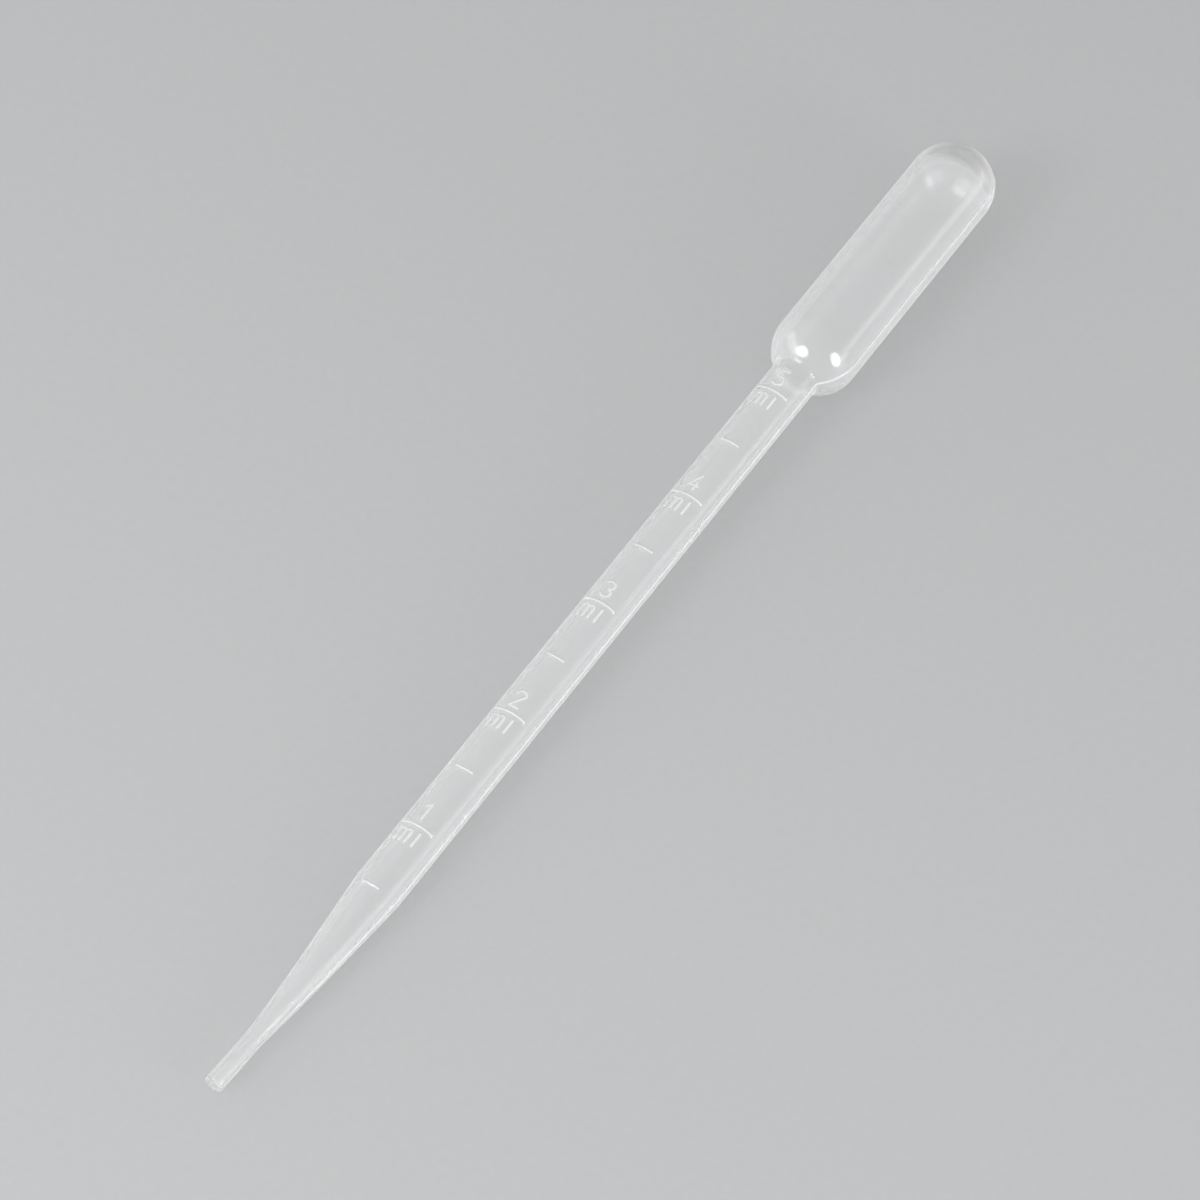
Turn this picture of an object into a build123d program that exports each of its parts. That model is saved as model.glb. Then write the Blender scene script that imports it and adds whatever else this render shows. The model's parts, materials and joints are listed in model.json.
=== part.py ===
"""Graduated plastic dropper pipette: one hollow moulding, lying on its side as it comes to rest.

The long axis runs along X, with the mouth of the tip at -X and the squeeze bulb at +X.
The scale faces up. A roll angle turns about the long axis, from +Z (0) towards -Y (90).
"""
import os
from math import asin, atan2, cos, hypot, pi, radians, sin, sqrt

from build123d import *

# --- Outside form, in millimetres, measured along the straight axis from the mouth ---
overall_length = 221.7     # mouth of the tip to the end of the bulb
bulb_length = 56.7         # from the neck to the end of the dome
bulb_diameter = 15.2
stem_diameter = 8.2
taper_length = 32.0        # cone between the tip tube and the stem
tip_length = 10.7          # parallel tube that makes the drops
tip_diameter = 3.1

# --- Walls ---
bulb_wall = 0.50
dome_wall = 2.0            # at the very end of the bulb, where the moulding is thickest
stem_wall = 0.59
tip_wall = 0.62

# --- Soft edges ---
neck_round = 0.6           # inside corner where the shoulder meets the stem
taper_round = 18.0         # very soft corner between the taper and the stem
rim_round = 0.16           # both edges of the mouth

# --- Set in the tip: it curves gently to one side along the lower taper ---
tip_bend = 2.2             # degrees, in all
bend_length = 18.0         # stretch of the taper that curves
bend_roll = -67.0          # direction in which the mouth leans

# --- Raised scale ---
ml_step = 0.5              # millilitres from one line to the next
ml_top = 5.0               # last line
held_back = 31.0           # microlitres that stay in the tip, which the scale allows for
mark_width = 0.32          # width of every raised stroke
mark_height = 0.16         # how far the strokes stand above the wall
whole_line_roll = -2.0     # middle of the lines at 1, 2, 3, 4 and 5 ml
whole_line_span = 88.0     # degrees around the stem
half_line_roll = 0.0      # middle of the lines at 0.5, 1.5 ... 4.5 ml
half_line_span = 46.0
figure_roll = -3.0         # middle of each figure
figure_height = 3.6
figure_width = 1.9
figure_gap = 0.9           # between a line and the figure above it
unit_roll = -5.5           # middle of the "ml" below each whole line
unit_height = 3.0
unit_width = 3.5
unit_gap = 0.8             # between a line and the unit below it
scale_clearance = 1.5      # bare stem kept below the neck

# --- Parting line of the mould: a fine ridge on both sides, down to the tip tube ---
seam_roll = 80.0
seam_width = 0.28
seam_height = 0.09
flash_length = 0.37        # tag of flash left on the rim, on the seam
flash_width = 0.42

# --- Values that follow from the ones above ---
bulb_r = bulb_diameter / 2
stem_r = stem_diameter / 2
tip_r = tip_diameter / 2
bulb_bore_r = bulb_r - bulb_wall
stem_bore_r = stem_r - stem_wall
tip_bore_r = tip_r - tip_wall
stem_start = tip_length + taper_length
neck_x = overall_length - bulb_length
bend_x = tip_length + min(bend_length, 0.9 * taper_length)
shoulder_x = neck_x + sqrt(bulb_r**2 - stem_r**2)
dome_x = overall_length - bulb_r
dome_bore_x = overall_length - dome_wall - bulb_bore_r


def taper_radius(x, tip, stem):
    """Radius of the cone at x, for a surface with these radii at its two ends."""
    return tip + (stem - tip) * (x - tip_length) / taper_length


def direction(roll):
    """Unit vector square to the long axis, at a roll angle."""
    return Vector(0, -sin(radians(roll)), cos(radians(roll)))


def facing(x, roll):
    """Plane through the axis at x that looks out at a roll angle, with its Y towards the bulb."""
    return Plane(origin=(x, 0, 0), x_dir=direction(roll + 90), z_dir=direction(roll))


def lathe_profile(tip, stem, bulb, dome):
    """Half section of the straight part, from the start of the bend to the end of the bulb.

    The end is a dome of the bulb's radius, with its centre at the distance "dome".
    """
    neck = shoulder_x - sqrt(bulb**2 - stem**2)
    shoulder_angle = 180 - asin(stem / bulb) * 180 / pi
    outline = Polyline(
        (dome + bulb, 0),
        (bend_x, 0),
        (bend_x, taper_radius(bend_x, tip, stem)),
        (stem_start, stem),
        (neck, stem),
    )
    shoulder = CenterArc((shoulder_x, 0), bulb, shoulder_angle, 90 - shoulder_angle)
    side = Line((shoulder_x, bulb), (dome, bulb))
    end = CenterArc((dome, 0), bulb, 90, -90)
    section = make_face(outline + shoulder + side + end)
    corners = section.vertices()
    taper_corner = corners.sort_by_distance((stem_start, stem, 0))[0]
    section = fillet(taper_corner, taper_round)
    neck_corner = section.vertices().sort_by_distance((neck, stem, 0))[0]
    return fillet(neck_corner, neck_round)


def bend_plane(share):
    """Cross-section plane of the curved stretch: share 0 at its upper end, 1 at the tip tube."""
    length = bend_x - tip_length
    turn = radians(tip_bend)
    radius = length / turn
    angle = turn * share
    lean = direction(bend_roll)
    along = Vector(-cos(angle), 0, 0) + lean * sin(angle)
    centre = Vector(bend_x - radius * sin(angle), 0, 0) + lean * (radius * (1 - cos(angle)))
    across = direction(seam_roll)
    across = across - along * across.dot(along)
    return Plane(origin=centre, x_dir=across, z_dir=along)


def bend_radius(share, tip, stem):
    """Radius of the curved cone at a share of its length."""
    return taper_radius(bend_x - share * (bend_x - tip_length), tip, stem)


bend_shares = [i / 6 for i in range(7)]


def curved_cone(tip, stem):
    """Lower taper, which follows the set in the tip."""
    return loft([bend_plane(s) * Circle(bend_radius(s, tip, stem)) for s in bend_shares])


def body(tip, stem, bulb, dome):
    """Solid of revolution plus its curved cone: used for the outside and for the bore."""
    return revolve(lathe_profile(tip, stem, bulb, dome), Axis.X) + curved_cone(tip, stem)


def mark_position(millilitres):
    """Distance from the mouth at which the bore below delivers this volume."""
    volume = 1000 * millilitres + held_back - pi * tip_bore_r**2 * tip_length
    slope = (stem_bore_r - tip_bore_r) / taper_length
    cone_volume = pi * (stem_bore_r**3 - tip_bore_r**3) / (3 * slope)
    if volume < cone_volume:
        radius = (tip_bore_r**3 + 3 * slope * volume / pi) ** (1 / 3)
        return tip_length + (radius - tip_bore_r) / slope
    return stem_start + (volume - cone_volume) / (pi * stem_bore_r**2)


def stroke(*edges):
    """Flat strokes with round ends along a set of edges."""
    shape = Sketch()
    for edge in edges:
        shape += trace(edge, mark_width)
        for end in (edge @ 0, edge @ 1):
            shape += Pos(end.X, end.Y) * Circle(mark_width / 2)
    return shape


def figure(digit):
    """One figure of the scale, standing on Y 0 and centred on X 0."""
    w = (figure_width - mark_width) / 2
    low = mark_width / 2
    high = figure_height - mark_width / 2
    half = (low + high) / 2
    if digit == 1:
        return stroke(Line((0, low), (0, high)), Line((0, high), (-0.8 * w, high - 0.9 * w)))
    if digit == 2:
        bowl = ThreePointArc((-w, high - w), (0, high), (w, high - w))
        return stroke(bowl, Line((w, high - w), (-w, low)), Line((-w, low), (w, low)))
    if digit == 3:
        upper = ThreePointArc((-w, high - 0.6 * w), (0.9 * w, (high + half) / 2), (0, half))
        lower = ThreePointArc((0, half), (w, (half + low) / 2), (-w, low + 0.6 * w))
        return stroke(upper, lower)
    if digit == 4:
        bar = low + 0.3 * (high - low)
        slope = Line((0.4 * w, high), (-w, bar))
        return stroke(slope, Line((-w, bar), (w, bar)), Line((0.4 * w, low), (0.4 * w, half)))
    bowl = ThreePointArc((-0.8 * w, half + 0.1 * w), (w, (half + low) / 2), (-w, low + 0.4 * w))
    back = Line((-0.8 * w, half + 0.1 * w), (-0.8 * w, high))
    return stroke(bowl, back, Line((-0.8 * w, high), (0.9 * w, high)))


def unit():
    """The letters "ml", hanging from Y 0 and centred on X 0."""
    left = (mark_width - unit_width) / 2
    pitch = 0.28 * unit_width
    low = mark_width / 2 - unit_height
    high = -mark_width / 2
    arch = high - 0.2 * unit_height
    edges = [Line((left, low), (left, arch + pitch / 2))]
    for i in range(2):
        start = left + i * pitch
        edges.append(ThreePointArc((start, arch), (start + pitch / 2, arch + pitch / 2), (start + pitch, arch)))
        edges.append(Line((start + pitch, arch), (start + pitch, low)))
    right = -left
    edges.append(Line((right, low), (right, high)))
    return stroke(*edges)


def raised(sketch, x, roll):
    """Wrap a flat sketch onto the stem as raised strokes."""
    reach = stem_r + mark_height
    prism = extrude(facing(x, roll) * Pos(0, 0, 0.75 * stem_r) * sketch, 0.5 * stem_r)
    return prism & (Pos(x, 0, 0) * Rot(0, 90, 0) * Cylinder(reach, 4 * figure_height))


def raised_line(x, roll, span):
    """Raised line around part of the stem or the taper."""
    wall = stem_r if x > stem_start else taper_radius(x, tip_r, stem_r)
    depth = 0.5 * stem_wall + mark_height
    middle = wall + mark_height - depth / 2
    section = facing(x, roll - span / 2) * Plane.YZ * Pos(0, middle) * Rectangle(mark_width, depth)
    return revolve(section, Axis.X, revolution_arc=-span)


def scale():
    """All the raised lines, figures and units that fit on the stem."""
    marks = []
    for step in range(1, int(round(ml_top / ml_step)) + 1):
        value = step * ml_step
        x = mark_position(value)
        whole = abs(value - round(value)) < 1e-6
        top = x + (figure_gap + figure_height if whole else 0)
        if top > neck_x - scale_clearance:
            break
        if not whole:
            marks.append(raised_line(x, half_line_roll, half_line_span))
            continue
        marks.append(raised_line(x, whole_line_roll, whole_line_span))
        figure_x = x + mark_width / 2 + figure_gap
        marks.append(raised(figure(round(value)), figure_x, figure_roll))
        marks.append(raised(unit(), x - mark_width / 2 - unit_gap, unit_roll))
    return marks


def seam():
    """Fine ridge of the parting line along both sides of the stem, the bulb and the curved cone."""
    outline = lathe_profile(tip_r + seam_height, stem_r + seam_height, bulb_r + seam_height, dome_x)
    fin = extrude(outline, seam_width / 2, both=True)
    wings = [
        bend_plane(s) * Rectangle(2 * bend_radius(s, tip_r, stem_r) + 2 * seam_height, seam_width)
        for s in bend_shares
    ]
    return [Rot(seam_roll + 90, 0, 0) * fin, Rot(seam_roll - 90, 0, 0) * fin, loft(wings)]


def tip_tube():
    """Parallel tube of the tip, with the tag of flash on its rim."""
    tube = Cylinder(tip_r, tip_length, align=(Align.CENTER, Align.CENTER, Align.MIN))
    tube -= Cylinder(tip_bore_r, tip_length, align=(Align.CENTER, Align.CENTER, Align.MIN))
    tube = fillet(tube.edges().group_by(Axis.Z)[-1], rim_round)
    tag = Pos(-tip_r + tip_wall / 2, 0, tip_length - rim_round) * Box(
        tip_wall - rim_round,
        flash_width,
        2 * flash_length,
    )
    return bend_plane(1) * (tube + tag)


def rest_tilt():
    """Slope of the long axis when the moulding rests on a flat surface.

    It touches at the shoulder of the bulb and at whichever lies lower in front of it: the end
    of the stem, or the rim of the mouth.
    """
    mouth = (bend_plane(1) * Pos(0, 0, tip_length)).position
    slopes = []
    for x, z in ((stem_start, -stem_r), (mouth.X, mouth.Z - tip_r)):
        reach = hypot(shoulder_x - x, z)
        slopes.append(atan2(-z, shoulder_x - x) - asin(bulb_r / reach))
    return max(slopes)


def pipette():
    """The whole moulding, straight out of its own axis frame."""
    shell = body(tip_r, stem_r, bulb_r, dome_x)
    for piece in seam() + scale():
        shell += piece
    shell -= body(tip_bore_r, stem_bore_r, bulb_bore_r, dome_bore_x)
    return shell + tip_tube()


moulding = Rot(0, rest_tilt() * 180 / pi, 0) * pipette()
box = moulding.bounding_box()
moulding = Pos(-(box.min.X + box.max.X) / 2, -(box.min.Y + box.max.Y) / 2, -box.min.Z) * moulding

os.makedirs("parts", exist_ok=True)
export_step(moulding, "parts/pipette.step")
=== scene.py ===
import json
from math import asin, atan2, cos, hypot, pi, radians, sin, sqrt, tan

import bpy
import numpy as np
from mathutils import Matrix, Vector


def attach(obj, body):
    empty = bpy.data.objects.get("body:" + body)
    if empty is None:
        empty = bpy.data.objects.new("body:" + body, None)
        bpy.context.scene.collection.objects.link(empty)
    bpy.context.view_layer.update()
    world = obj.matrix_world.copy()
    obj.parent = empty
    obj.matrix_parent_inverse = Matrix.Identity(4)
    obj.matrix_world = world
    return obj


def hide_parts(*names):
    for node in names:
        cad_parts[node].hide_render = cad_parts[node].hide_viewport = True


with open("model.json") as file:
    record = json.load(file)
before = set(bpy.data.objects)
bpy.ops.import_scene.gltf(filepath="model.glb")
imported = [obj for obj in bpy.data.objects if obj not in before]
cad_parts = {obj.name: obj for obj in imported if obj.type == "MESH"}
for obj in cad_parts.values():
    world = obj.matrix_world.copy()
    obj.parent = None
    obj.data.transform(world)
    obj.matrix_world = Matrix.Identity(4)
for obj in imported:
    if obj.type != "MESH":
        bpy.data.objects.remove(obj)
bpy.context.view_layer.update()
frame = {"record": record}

# ---------------------------------------------------------------------------------------------
# Sizes, in metres. The walls come from the frame; the fine values repeat the CAD's own.
# ---------------------------------------------------------------------------------------------
MM = 0.001
mounts = {m["name"]: m for m in frame["record"]["mounts"]}


class Wall:
    """A round wall of the frame: its middle, its axis towards the mouth, radius and length."""

    def __init__(self, name):
        mount = mounts[name]
        self.middle = Vector(mount["pos_m"])
        self.axis = Vector(mount["axis"]).normalized()
        self.radius = mount["dims"]["r_mm"] * MM
        self.length = mount["dims"]["length_mm"] * MM


bulb, stem, tip, bore = [Wall(n) for n in ("bulb_outside", "stem_outside", "tip_outside", "tip_bore")]

bulb_wall = 0.50 * MM
stem_wall = 0.59 * MM
dome_wall = 2.0 * MM       # at the very end of the bulb, where the moulding is thickest
neck_round = 0.6 * MM
taper_round = 18.0 * MM
rim_round = 0.16 * MM

ml_step = 0.5              # millilitres from one line to the next
ml_top = 5.0
held_back = 31.0e-9        # cubic metres that stay in the tip
mark_width = 0.32 * MM
mark_height = 0.15 * MM
mark_edge = 0.09 * MM      # soft foot on each side of a stroke
whole_line = (-2.0, 88.0)  # middle and span of a line, in degrees of roll
half_line = (0.0, 46.0)
figure_roll, figure_height, figure_width, figure_gap = -3.0, 3.6 * MM, 1.9 * MM, 0.9 * MM
unit_roll, unit_height, unit_width, unit_gap = -5.5, 3.0 * MM, 3.5 * MM, 0.8 * MM

seam_roll = 80.0
seam_width = 0.28 * MM
seam_height = 0.09 * MM
flash_length = 0.37 * MM
flash_width = 0.42 * MM
flash_rows = ((0.25, 0.0), (0.32, 1.0), (0.5, 1.0), (0.62, 0.0))  # (share of the rim's wall, height)

# Painted highlights on the parting line and on the neck's corner, as whiteness where a raised stroke
# has 1
seam_highlight = 0.65
neck_highlight = 1.9
neck_width = 0.45 * MM     # the corner's band along the axis
neck_roll = 20.0           # it shows on the side away from this roll angle

# Fine surface of the moulding
bump_strength = 0.5
bump_distance = 0.05 * MM
lines_around = 30.0        # fineness of the lengthwise lines around the wall
lines_along = 16.0         # and along it, per metre
lines_detail = 1.0
grain_scale = 2600.0       # per metre
grain_share = 0.04         # height of the grain beside the lines

# Steps of the mesh: rows along the axis, and columns and curves in degrees
fine_row = 0.11 * MM
coarse_row = 1.4 * MM
bulb_row = 1.5 * MM
fine_turn = 1.5
coarse_turn = 6.0
seam_turn = 0.8
outer_turn = 4.0
inner_turn = 6.0
rim_turn = 22.5
neck_steps = 7

# ---------------------------------------------------------------------------------------------
# The centre line, measured from the mouth
# ---------------------------------------------------------------------------------------------
along = -stem.axis
mouth = tip.middle + tip.axis * (tip.length / 2 + rim_round)
tube_end = tip.middle - tip.axis * (tip.length / 2)
tip_length = (mouth - tube_end).length


def meeting_point():
    """Point of the straight axis that lies nearest to the line of the tip tube."""
    gap = tube_end - stem.middle
    lean = -tip.axis
    share = along.dot(lean)
    return stem.middle + along * ((along.dot(gap) - share * lean.dot(gap)) / (1 - share * share))


corner = meeting_point()
tangent = (corner - tube_end).length
bend_end = corner + along * tangent
bend_x = tip_length + 2 * tangent


def from_mouth(point):
    """Distance from the mouth of a point on the straight axis."""
    return bend_x + (point - bend_end).dot(along)


shoulder_x = from_mouth(bulb.middle) - bulb.length / 2
dome_x = from_mouth(bulb.middle) + bulb.length / 2
stem_low = from_mouth(stem.middle) - stem.length / 2
cone_angle = atan2(stem.radius - tip.radius, stem_low - tip_length)
stem_x = stem_low - taper_round * tan(cone_angle / 2)


def centre(x):
    """Point of the centre line at a distance from the mouth."""
    if x <= tip_length:
        return mouth - tip.axis * x
    if x >= bend_x:
        return bend_end + along * (x - bend_x)
    t = (x - tip_length) / (bend_x - tip_length)
    return tube_end * (1 - t) ** 2 + corner * (2 * t * (1 - t)) + bend_end * t**2


def heading(x):
    """Direction of the centre line towards the bulb."""
    step = 0.05 * MM
    return (centre(x + step) - centre(x - step)).normalized()


def outward(x, rolls):
    """Unit vectors square to the centre line, one for each roll angle in degrees."""
    ahead = heading(x)
    up = (Vector((0, 0, 1)) - ahead * ahead.z).normalized()
    side = ahead.cross(up)
    turns = np.radians(rolls)[:, None]
    return np.cos(turns) * np.array(up) + np.sin(turns) * np.array(side)


# ---------------------------------------------------------------------------------------------
# The raised scale, as strokes on the flat: (across, towards the bulb)
# ---------------------------------------------------------------------------------------------
stem_bore = stem.radius - stem_wall


def mark_position(millilitres):
    """Distance from the mouth at which the bore below delivers this volume."""
    volume = millilitres * 1e-6 + held_back - pi * bore.radius**2 * tip_length
    slope = (stem_bore - bore.radius) / (stem_x - tip_length)
    cone = pi * (stem_bore**3 - bore.radius**3) / (3 * slope)
    if volume < cone:
        radius = (bore.radius**3 + 3 * slope * volume / pi) ** (1 / 3)
        return tip_length + (radius - bore.radius) / slope
    return stem_x + (volume - cone) / (pi * stem_bore**2)


def arc(a, b, c, count=9):
    """Points on the circle through three points, from a to c."""
    (ax, ay), (bx, by), (cx, cy) = a, b, c
    twice = 2 * (ax * (by - cy) + bx * (cy - ay) + cx * (ay - by))
    squares = [x * x + y * y for x, y in (a, b, c)]
    x = (squares[0] * (by - cy) + squares[1] * (cy - ay) + squares[2] * (ay - by)) / twice
    y = (squares[0] * (cx - bx) + squares[1] * (ax - cx) + squares[2] * (bx - ax)) / twice
    radius = hypot(ax - x, ay - y)
    first, middle, last = [atan2(q - y, p - x) for p, q in (a, b, c)]
    if (middle - first) % (2 * pi) < (last - first) % (2 * pi):
        sweep = (last - first) % (2 * pi)
    else:
        sweep = -((first - last) % (2 * pi))
    steps = [first + sweep * i / (count - 1) for i in range(count)]
    return [(x + radius * cos(t), y + radius * sin(t)) for t in steps]


def figure(digit):
    """Strokes of one figure, standing on 0 and centred on 0."""
    w = (figure_width - mark_width) / 2
    low = mark_width / 2
    high = figure_height - mark_width / 2
    half = (low + high) / 2
    if digit == 1:
        return [[(0, low), (0, high), (-0.8 * w, high - 0.9 * w)]]
    if digit == 2:
        return [arc((-w, high - w), (0, high), (w, high - w)) + [(-w, low), (w, low)]]
    if digit == 3:
        upper = arc((-w, high - 0.6 * w), (0.9 * w, (high + half) / 2), (0, half))
        lower = arc((0, half), (w, (half + low) / 2), (-w, low + 0.6 * w))
        return [upper, lower]
    if digit == 4:
        bar = low + 0.3 * (high - low)
        return [[(0.4 * w, high), (-w, bar), (w, bar)], [(0.4 * w, low), (0.4 * w, half)]]
    bowl = arc((-0.8 * w, half + 0.1 * w), (w, (half + low) / 2), (-w, low + 0.4 * w))
    return [bowl, [(-0.8 * w, half + 0.1 * w), (-0.8 * w, high), (0.9 * w, high)]]


def unit():
    """Strokes of "ml", hanging from 0 and centred on 0."""
    left = (mark_width - unit_width) / 2
    pitch = 0.28 * unit_width
    low = mark_width / 2 - unit_height
    high = -mark_width / 2
    spring = high - 0.2 * unit_height
    strokes = [[(left, low), (left, spring + pitch / 2)]]
    for start in (left, left + pitch):
        end = start + pitch
        bow = arc((start, spring), (start + pitch / 2, spring + pitch / 2), (end, spring))
        strokes.append(bow + [(end, low)])
    return strokes + [[(-left, low), (-left, high)]]


def scale_marks():
    """Every mark: distance from the mouth, roll of its middle, strokes, and whether it is a line."""
    marks = []
    for step in range(1, round(ml_top / ml_step) + 1):
        value = step * ml_step
        x = mark_position(value)
        whole = abs(value - round(value)) < 1e-6
        roll, span = whole_line if whole else half_line
        reach = (stem.radius * radians(span) - mark_width) / 2
        marks.append((x, roll, [[(-reach, 0), (reach, 0)]], True))
        if whole:
            marks.append((x + mark_width / 2 + figure_gap, figure_roll, figure(round(value)), False))
            marks.append((x - mark_width / 2 - unit_gap, unit_roll, unit(), False))
    return marks


marks = scale_marks()


def smooth_step(value):
    value = np.clip(value, 0, 1)
    return value * value * (3 - 2 * value)


def distance_to(strokes, across, up):
    """Distance of points on the flat from the nearest stroke's centre line."""
    nearest = np.full(across.shape, 1.0)
    for points in strokes:
        for (x0, y0), (x1, y1) in zip(points, points[1:]):
            dx, dy = x1 - x0, y1 - y0
            share = np.clip(((across - x0) * dx + (up - y0) * dy) / (dx * dx + dy * dy), 0, 1)
            nearest = np.minimum(nearest, np.hypot(across - x0 - share * dx, up - y0 - share * dy))
    return nearest


def mark_range(mark):
    """Stretch of the axis that a mark covers."""
    ups = [p[1] for points in mark[2] for p in points]
    reach = mark_width / 2 + mark_edge
    return mark[0] + min(ups) - reach, mark[0] + max(ups) + reach


def relief(x, rolls):
    """Height of the raised strokes at a distance from the mouth, for every roll angle."""
    height = np.zeros(len(rolls))
    reach = mark_width / 2 + mark_edge
    for mark in marks:
        low, high = mark_range(mark)
        if not low < x < high:
            continue
        place, roll, strokes, line = mark
        turn = np.radians((rolls - roll + 180) % 360 - 180)
        across = stem.radius * (turn if line else np.sin(np.clip(turn, -pi / 2, pi / 2)))
        gap = distance_to(strokes, across, np.full(across.shape, x - place))
        height = np.maximum(height, mark_height * smooth_step((reach - gap) / (2 * mark_edge)))
    return height


def seam_relief(x, radius, rolls):
    """Height of the parting line's ridge, which fades out at the tip tube."""
    gap = radius * np.abs(np.sin(np.radians(rolls - seam_roll)))
    fade = float(smooth_step((x - tip_length) / (bend_x - tip_length)))
    return fade * seam_height * smooth_step(1.25 - gap / seam_width)


def neck_highlight_ring(x, rolls):
    """Painted highlight on the bore's corner at the neck, on one side only."""
    neck = shoulder_x - sqrt((bulb.radius - bulb_wall) ** 2 - (stem.radius - stem_wall) ** 2)
    under = smooth_step(0.5 - np.cos(np.radians(rolls - neck_roll)))
    return neck_highlight * under * max(0.0, 1 - abs(x - neck) / neck_width)


def flash_relief(radius, rolls):
    """Length of the tag of flash on the rim, on one side of the parting line."""
    turn = (rolls - (seam_roll - 180) + 180) % 360 - 180
    gap = radius * np.radians(np.abs(turn))
    return (flash_length - rim_round) * smooth_step((flash_width / 2 - gap) / (0.3 * flash_width) + 0.5)


# ---------------------------------------------------------------------------------------------
# The wall as one closed skin: rows run down the outside from the dome, round the rim, and back
# up the bore
# ---------------------------------------------------------------------------------------------
def spread(low, high, step):
    """Evenly spaced values from low to high, without the last."""
    count = max(1, round((high - low) / step))
    return [low + (high - low) * i / count for i in range(count)]


def columns():
    """Roll angles of the mesh columns: fine over the scale and at both sides of the parting line."""
    reach = whole_line[1] / 2 + 3.0
    fine = [(whole_line[0] - reach, whole_line[0] + reach, fine_turn)]
    for middle in (seam_roll, seam_roll - 180):
        fine.append((middle - 6 * seam_turn, middle + 6 * seam_turn, seam_turn))
    fine.sort()
    turns = []
    for i, (low, high, step) in enumerate(fine):
        after = fine[(i + 1) % len(fine)][0] + (360 if i + 1 == len(fine) else 0)
        turns += spread(low, high, step) + spread(high, after, coarse_turn)
    return np.array(turns)


def soft_corner(gap, before, after, reach):
    """Rise past a corner between two slopes, rounded over a reach on each side."""
    if abs(gap) >= reach:
        return (before if gap < 0 else after) * gap
    return before * gap + (after - before) * (gap + reach) ** 2 / (4 * reach)


def tube_radius(x, low, high):
    """Radius of the tip, taper and stem, with its soft corners."""
    slope = (high - low) / (stem_x - tip_length)
    reach = taper_round * tan(cone_angle / 2)
    if x < (tip_length + stem_x) / 2:
        return low + soft_corner(x - tip_length, 0, slope, reach)
    return high + soft_corner(x - stem_x, slope, 0, reach)


def tube_rows(fine):
    """Distances from the mouth of the rows between the rim and the neck."""
    neck = shoulder_x - sqrt((bulb.radius + neck_round) ** 2 - (stem.radius + neck_round) ** 2)
    stretches = sorted(mark_range(m) for m in marks) if fine else []
    rows = []
    x = rim_round
    for low, high in stretches + [(neck, neck)]:
        if low > x:
            rows += spread(x, low, coarse_row)
            x = low
        if high > x:
            rows += spread(x, high, fine_row)
            x = high
    return rows


def bulb_rows(stem_radius, bulb_radius, dome, turn):
    """(distance, radius) of the rows from the neck to the pole of the dome."""
    reach = bulb_radius + neck_round
    pivot = shoulder_x - sqrt(reach**2 - (stem_radius + neck_round) ** 2)
    lean = asin((stem_radius + neck_round) / reach)
    rows = []
    for t in spread(pi / 2, lean, (lean - pi / 2) / neck_steps):
        rows.append((pivot + neck_round * cos(t), stem_radius + neck_round * (1 - sin(t))))
    for t in spread(lean, pi / 2, radians(turn)):
        rows.append((shoulder_x - bulb_radius * cos(t), bulb_radius * sin(t)))
    for x in spread(shoulder_x, dome, bulb_row):
        rows.append((x, bulb_radius))
    for t in spread(0, pi / 2, radians(turn)):
        rows.append((dome + bulb_radius * sin(t), bulb_radius * cos(t)))
    return rows


ring_places = []  # distance from the mouth of each ring, in the order of the mesh


def spread_ring(x, radii, rolls, shift=0.0):
    """One ring of points around the centre line; shift moves them out past the mouth."""
    ring_places.append(x)
    middle = np.array(centre(x))
    ahead = np.array(heading(x))
    around = outward(x, rolls) * np.asarray(radii)[:, None]
    return middle + around - ahead * np.reshape(shift, (-1, 1))


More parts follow.
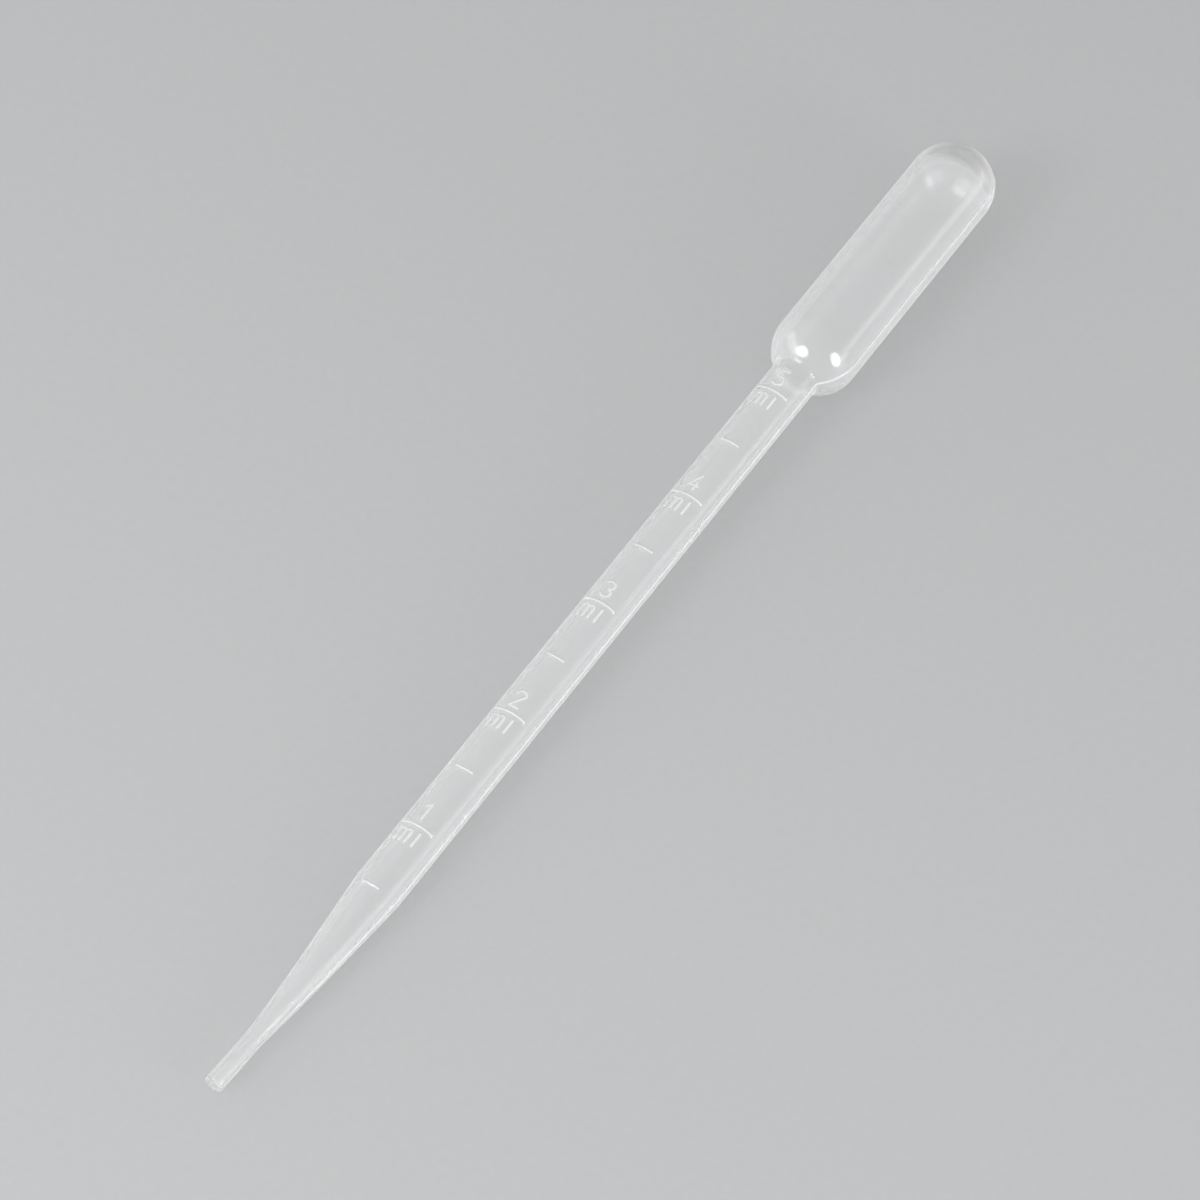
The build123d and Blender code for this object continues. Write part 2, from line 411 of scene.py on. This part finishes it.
def shell():
    """Vertices and faces of the wall, and how white each vertex is: denser haze on the strokes, partly
    a painted highlight, and painted highlights on the parting line and the neck's corner.
    """
    rolls = columns()
    n = len(rolls)
    even = np.ones(n)
    rings = []
    haze_and_painted_highlight = []
    outer = [(x, tube_radius(x, tip.radius, stem.radius)) for x in tube_rows(True)]
    outer += bulb_rows(stem.radius, bulb.radius, dome_x, outer_turn)
    for x, radius in reversed(outer):
        strokes = relief(x, rolls)
        ridge = seam_relief(x, radius, rolls)
        # Whiteness of the strokes' haze, partly a painted highlight, and the painted highlight of the
        # parting line
        haze_and_painted_highlight.append(np.maximum(strokes / mark_height, seam_highlight * ridge / seam_height))
        rings.append(spread_ring(x, radius + strokes + ridge, rolls))
    flash = flash_relief(tip.radius, rolls)
    wall = tip.radius - bore.radius
    for t in spread(0, pi / 2, radians(rim_turn))[1:]:
        inset = rim_round * (1 - cos(t))
        rings.append(spread_ring(rim_round * (1 - sin(t)), (tip.radius - inset) * even, rolls))
    for share, tag in flash_rows:
        rings.append(spread_ring(0, (tip.radius - share * wall) * even, rolls, tag * flash))
    for t in spread(pi / 2, 0, -radians(rim_turn)):
        inset = rim_round * (1 - cos(t))
        rings.append(spread_ring(rim_round * (1 - sin(t)), (bore.radius + inset) * even, rolls))
    inner = [(x, tube_radius(x, bore.radius, stem_bore)) for x in tube_rows(False)]
    inner_dome = dome_x + bulb_wall - dome_wall
    inner += bulb_rows(stem_bore, bulb.radius - bulb_wall, inner_dome, inner_turn)
    haze_and_painted_highlight += [0 * even] * (len(rings) - len(haze_and_painted_highlight))
    for x, radius in inner:
        # Painted highlight on the neck's corner of the bore
        haze_and_painted_highlight.append(neck_highlight_ring(x, rolls))
        rings.append(spread_ring(x, radius * even, rolls))
    poles = [centre(dome_x + bulb.radius), centre(dome_x + bulb.radius - dome_wall)]
    points = np.concatenate([np.array([poles[0]])] + rings + [np.array([poles[1]])])
    faces = [(0, 1 + j, 1 + (j + 1) % n) for j in range(n)]
    for i in range(len(rings) - 1):
        a = 1 + i * n
        faces += [(a + j, a + n + j, a + n + (j + 1) % n, a + (j + 1) % n) for j in range(n)]
    a = 1 + (len(rings) - 1) * n
    faces += [(a + j, len(points) - 1, a + (j + 1) % n) for j in range(n)]
    return points, faces, np.concatenate([[0]] + haze_and_painted_highlight + [[0]])


points, faces, haze_and_painted_highlight = shell()


def wall_places():
    """Place of each vertex on the wall, for textures: around as a circle, and along the axis."""
    turns = np.radians(columns())
    circle = np.stack([np.cos(turns), np.sin(turns)], axis=1) * lines_around
    rows = [np.column_stack([circle, np.full(len(turns), x * lines_along)]) for x in ring_places]
    pole = np.array([[0.0, 0.0, dome_x * lines_along]])
    return np.concatenate([pole] + rows + [pole])


mesh = bpy.data.meshes.new("pipette_wall")
mesh.from_pydata(points.tolist(), [], faces)
mesh.validate()
mesh.shade_smooth()
# Whiteness per vertex: haze on the strokes, partly a painted highlight, and painted highlights on the
# parting line and the neck's corner
whiteness = mesh.attributes.new("haze_and_painted_highlight", "FLOAT", "POINT")
whiteness.data.foreach_set("value", haze_and_painted_highlight.astype(np.float32))
places = mesh.attributes.new("wall", "FLOAT_VECTOR", "POINT")
places.data.foreach_set("vector", wall_places().ravel().astype(np.float32))
pipette = bpy.data.objects.new("pipette_wall", mesh)
bpy.context.scene.collection.objects.link(pipette)
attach(pipette, "root")
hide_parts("pipette")
print("triangles", sum(len(f) - 2 for f in faces), "columns", len(columns()))

# ---------------------------------------------------------------------------------------------
# Materials
# ---------------------------------------------------------------------------------------------
plastic_ior = 1.51
plastic_colour = (0.90, 0.905, 0.91, 1)
clear_rough = 0.09
haze_rough = 0.24
haze_depth = 0.14          # optical depth of the haze of one surface, seen square on
mark_haze_and_highlight = 1.7            # what is added to it on a raised stroke, partly a painted highlight; the parting line and neck corner get painted highlights through it too
haze_edge = 0.9            # how much of the rest it veils where the wall is edge on
haze_cloud = 0.35          # how much the haze varies from place to place
cloud_scale = 420.0        # per metre
edge_power = 5.0           # how close to the edge the veil sets in
least_cosine = 0.02
through_share = 0.30       # share of the haze that glows with light from behind
clear_colour = (0.99, 0.99, 0.99, 1)
passing_tint = (0.94, 0.94, 0.94, 1)  # what a lamp's light keeps at each surface
floor_colour = (0.50, 0.505, 0.51, 1)
floor_rough = 0.6
floor_scale = 700.0        # fineness of the floor's mottle, per metre
floor_range = 0.03         # and how much it varies


def polyethylene():
    """Milky clear plastic: glass with a haze that thickens where the wall is seen edge on."""
    material = bpy.data.materials.new("polyethylene")
    material.use_nodes = True
    tree = material.node_tree
    tree.nodes.clear()
    links = tree.links

    def make(kind, **sockets):
        made = tree.nodes.new("ShaderNode" + kind)
        for name, value in sockets.items():
            made.inputs[name.replace("_", " ")].default_value = value
        return made

    def maths(operation, first, second=0.0, third=0.0):
        made = make("Math")
        made.operation = operation
        for socket, value in zip(made.inputs, (first, second, third)):
            if isinstance(value, float):
                socket.default_value = value
            else:
                links.new(value, socket)
        return made.outputs[0]

    # Lines along the moulding with a little grain, and clouds in the plastic
    wall = make("Attribute")
    wall.attribute_name = "wall"
    lines = make("TexNoise", Scale=1.0, Detail=lines_detail, Roughness=0.5)
    links.new(wall.outputs["Vector"], lines.inputs["Vector"])
    place = make("TexCoord").outputs["Object"]
    clouds = make("TexNoise", Scale=cloud_scale, Detail=4.0, Roughness=0.65)
    links.new(place, clouds.inputs["Vector"])
    grain = make("TexNoise", Scale=grain_scale, Detail=2.0, Roughness=0.5)
    links.new(place, grain.inputs["Vector"])
    surface = maths("MULTIPLY_ADD", grain.outputs["Fac"], grain_share, lines.outputs["Fac"])
    bump = make("Bump", Strength=bump_strength, Distance=bump_distance)
    links.new(surface, bump.inputs["Height"])

    # The clear plastic, and its haze, which is lit from both sides
    clear = make("BsdfPrincipled", Base_Color=clear_colour, Roughness=clear_rough, IOR=plastic_ior)
    clear.inputs["Transmission Weight"].default_value = 1.0
    front = make("BsdfPrincipled", Base_Color=plastic_colour, Roughness=haze_rough, IOR=plastic_ior)
    behind = make("BsdfTranslucent", Color=plastic_colour)
    for shader in (clear, front):
        links.new(bump.outputs[0], shader.inputs["Normal"])
    haze = make("MixShader", Fac=through_share)
    links.new(front.outputs[0], haze.inputs[1])
    links.new(behind.outputs[0], haze.inputs[2])

    # The haze lies in depth: it is denser where the wall is seen edge on, and on the strokes, where it
    # is partly a painted highlight; the parting line and the neck's corner get painted highlights the
    # same way
    cosine = maths("SUBTRACT", 1.0, make("LayerWeight", Blend=0.5).outputs["Facing"])
    haze_and_painted_highlight = make("Attribute")
    haze_and_painted_highlight.attribute_name = "haze_and_painted_highlight"
    swing = 2 * haze_cloud * haze_depth
    cloudy = maths("MULTIPLY_ADD", clouds.outputs["Fac"], swing, (1 - haze_cloud) * haze_depth)
    depth = maths("MULTIPLY_ADD", haze_and_painted_highlight.outputs["Fac"], mark_haze_and_highlight, cloudy)
    depth = maths("DIVIDE", depth, maths("MAXIMUM", cosine, least_cosine))
    veil = maths("EXPONENT", maths("MULTIPLY", depth, -1.0))
    edge = maths("POWER", maths("SUBTRACT", 1.0, cosine), edge_power)
    open_share = maths("SUBTRACT", 1.0, maths("MULTIPLY", edge, haze_edge))
    amount = maths("SUBTRACT", 1.0, maths("MULTIPLY", veil, open_share))
    mix = make("MixShader")
    links.new(amount, mix.inputs[0])
    links.new(clear.outputs[0], mix.inputs[1])
    links.new(haze.outputs[0], mix.inputs[2])

    # Light that goes through to the floor passes straight, so the shadow stays pale
    path = make("LightPath")
    shown = mix
    for ray in ("Is Diffuse Ray", "Is Shadow Ray"):
        passing = make("BsdfTransparent", Color=passing_tint)
        choice = make("MixShader")
        links.new(path.outputs[ray], choice.inputs[0])
        links.new(shown.outputs[0], choice.inputs[1])
        links.new(passing.outputs[0], choice.inputs[2])
        shown = choice
    links.new(shown.outputs[0], make("OutputMaterial").inputs["Surface"])
    return material


def floor_material():
    """Pale table top with a faint mottle."""
    material = bpy.data.materials.new("pale_table")
    material.use_nodes = True
    skin = material.node_tree.nodes["Principled BSDF"]
    skin.inputs["Roughness"].default_value = floor_rough
    nodes, links = material.node_tree.nodes, material.node_tree.links
    place = nodes.new("ShaderNodeTexCoord")
    fleck = nodes.new("ShaderNodeTexNoise")
    fleck.inputs["Scale"].default_value = floor_scale
    fleck.inputs["Detail"].default_value = 3.0
    links.new(place.outputs["Object"], fleck.inputs["Vector"])
    shade = nodes.new("ShaderNodeMix")
    shade.data_type = "RGBA"
    for socket, part in (("A", 1 - floor_range), ("B", 1 + floor_range)):
        shade.inputs[socket].default_value = tuple(part * c for c in floor_colour[:3]) + (1,)
    links.new(fleck.outputs["Fac"], shade.inputs["Factor"])
    links.new(shade.outputs["Result"], skin.inputs["Base Color"])
    return material


mesh.materials.append(polyethylene())

# ---------------------------------------------------------------------------------------------
# Floor, camera and lights
# ---------------------------------------------------------------------------------------------
floor_half = 3.0
view_turn = radians(-56.47)
view_rise = radians(52.46)
view_range = 0.9461
view_lens = 175.5
axis_height = 7 * MM       # the camera aims beside the middle of the pipette at this height
aim_left = 2.70 * MM
aim_down = 1.19 * MM
lamp_watts = 17.0
lamp_range = 1.6
strip_range = 1.5
strip_left_watts = 5.0
strip_right_watts = 2.5
world_level = 0.42

floor_mesh = bpy.data.meshes.new("table_top")
floor_corners = [(x * floor_half, y * floor_half, 0) for x, y in ((-1, -1), (1, -1), (1, 1), (-1, 1))]
floor_mesh.from_pydata(floor_corners, [], [(0, 1, 2, 3)])
floor = bpy.data.objects.new("table_top", floor_mesh)
bpy.context.scene.collection.objects.link(floor)
floor_mesh.materials.append(floor_material())

back = Vector((sin(view_turn) * cos(view_rise), -cos(view_turn) * cos(view_rise), sin(view_rise)))
right = (-back).cross(Vector((0, 0, 1))).normalized()
upward = right.cross(-back)
camera_data = bpy.data.cameras.new("camera")
camera_data.lens = view_lens
camera_data.sensor_width = 36
camera = bpy.data.objects.new("camera", camera_data)
bpy.context.scene.collection.objects.link(camera)
aim = Vector((0, 0, axis_height)) - right * aim_left - upward * aim_down
facing = Matrix((right, upward, back)).transposed().to_4x4()
facing.translation = aim + back * view_range
camera.matrix_world = facing
bpy.context.scene.camera = camera


def softbox(name, shape, direction, distance, size, watts):
    """Area lamp that looks at the pipette from a direction."""
    data = bpy.data.lights.new(name, "AREA")
    data.shape = shape
    data.size, data.size_y = size
    data.energy = watts
    lamp = bpy.data.objects.new(name, data)
    bpy.context.scene.collection.objects.link(lamp)
    ahead = direction.normalized()
    lamp.location = ahead * distance
    across = Vector((0, 0, 1)).cross(ahead).normalized()
    turn = Matrix((across, ahead.cross(across), ahead)).transposed()
    lamp.rotation_euler = turn.to_euler()


# Two lamps over the camera's shoulders give the pairs of highlights on the shoulder and the dome,
# and two low strips light the sides
left_way = back * 0.77 - right * 0.63 - upward * 0.03
right_way = back * 0.56 + right * 0.75 - upward * 0.35
softbox("softbox_left", "ELLIPSE", left_way, lamp_range, (0.7, 0.75), lamp_watts)
softbox("softbox_right", "ELLIPSE", right_way, lamp_range, (0.6, 0.8), lamp_watts)
left_way = Vector((0, 0, 0.5)) - right
right_way = Vector((0, 0, 0.12)) + right
softbox("strip_left", "RECTANGLE", left_way, strip_range, (1.6, 0.6), strip_left_watts)
softbox("strip_right", "RECTANGLE", right_way, strip_range, (1.6, 0.3), strip_right_watts)

world = bpy.data.worlds.new("room")
bpy.context.scene.world = world
world.use_nodes = True
world.node_tree.nodes["Background"].inputs["Color"].default_value = (1, 1, 1, 1)
world.node_tree.nodes["Background"].inputs["Strength"].default_value = world_level

bpy.context.scene.view_settings.view_transform = "Standard"
